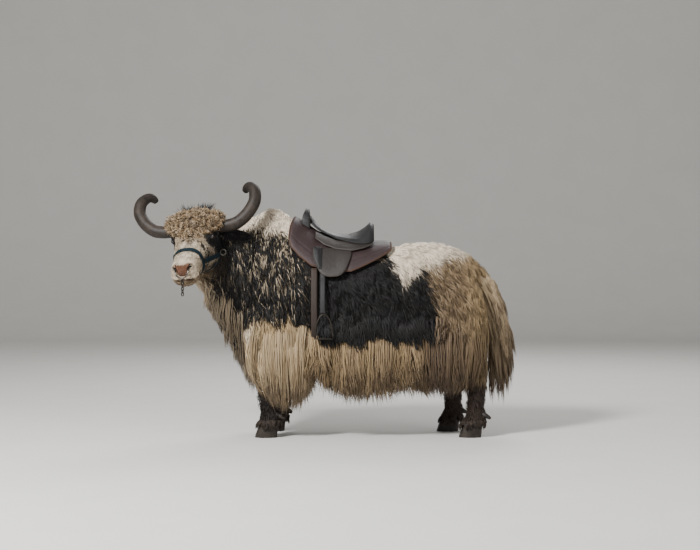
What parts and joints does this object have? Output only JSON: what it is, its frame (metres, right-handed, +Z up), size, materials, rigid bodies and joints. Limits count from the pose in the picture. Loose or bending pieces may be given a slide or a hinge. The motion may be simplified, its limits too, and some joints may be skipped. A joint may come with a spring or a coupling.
{
  "type": "saddled domestic yak",
  "caption": "Life-size standing yak with head turned to its left, long skirt of hair, curved horns, saddle, stirrups, halter and nose ring.",
  "frame": {"origin": "middle of the model's box at floor level, between the four feet and under the barrel", "axes": "+X along the body towards the tail, +Y towards the animal's right side, +Z up; the animal faces -X and its head is turned to -Y"},
  "size_m": [2.221, 0.9709, 1.477],
  "materials": {
    "coat_black": "long black hair, mottled with white over the shoulder",
    "coat_tan": "long golden tan hair, darker at the tips",
    "coat_cream": "short cream hair and a curly forelock",
    "coat_dark": "short dark hair",
    "horn": "grey-brown horn, worn to a low gloss",
    "hoof": "dry dark horn",
    "eye": "wet dark brown",
    "saddle_leather": "grey-brown saddle leather, polished by use",
    "worn_leather": "faded purplish leather with a tan edge",
    "black_leather": "black strap leather",
    "webbing": "teal woven webbing",
    "steel": "dull worn steel"
  },
  "bodies": {
    "root": {"head": "coat_cream", "neck": "coat_black", "torso": "coat_black", "tail": "coat_tan", "leg_front_left": "coat_tan", "hoof_front_left_inner": "hoof", "dewclaw_front_left_inner": "hoof", "hoof_front_left_outer": "hoof", "dewclaw_front_left_outer": "hoof", "leg_hind_left": "coat_tan", "hoof_hind_left_inner": "hoof", "dewclaw_hind_left_inner": "hoof", "hoof_hind_left_outer": "hoof", "dewclaw_hind_left_outer": "hoof", "ear_left": "coat_dark", "eye_left": "eye", "horn_left": "horn", "saddle_flap_left": "saddle_leather", "saddle_skirt_left": "saddle_leather", "knee_roll_left": "black_leather", "stirrup_leather_left": "black_leather", "stirrup_left": "steel", "halter_cheek_left": "webbing", "halter_ring_left": "steel", "leg_front_right": "coat_tan", "hoof_front_right_inner": "hoof", "dewclaw_front_right_inner": "hoof", "hoof_front_right_outer": "hoof", "dewclaw_front_right_outer": "hoof", "leg_hind_right": "coat_tan", "hoof_hind_right_inner": "hoof", "dewclaw_hind_right_inner": "hoof", "hoof_hind_right_outer": "hoof", "dewclaw_hind_right_outer": "hoof", "ear_right": "coat_dark", "eye_right": "eye", "horn_right": "horn", "saddle_flap_right": "saddle_leather", "saddle_skirt_right": "saddle_leather", "knee_roll_right": "black_leather", "stirrup_leather_right": "black_leather", "stirrup_right": "steel", "halter_cheek_right": "webbing", "halter_ring_right": "steel", "saddle_pad": "worn_leather", "saddle_seat": "saddle_leather", "saddle_pommel": "black_leather", "girth": "worn_leather", "halter_noseband": "webbing", "halter_throat": "webbing", "nose_ring": "steel", "nose_chain": "steel"}
  },
  "joints": []
}
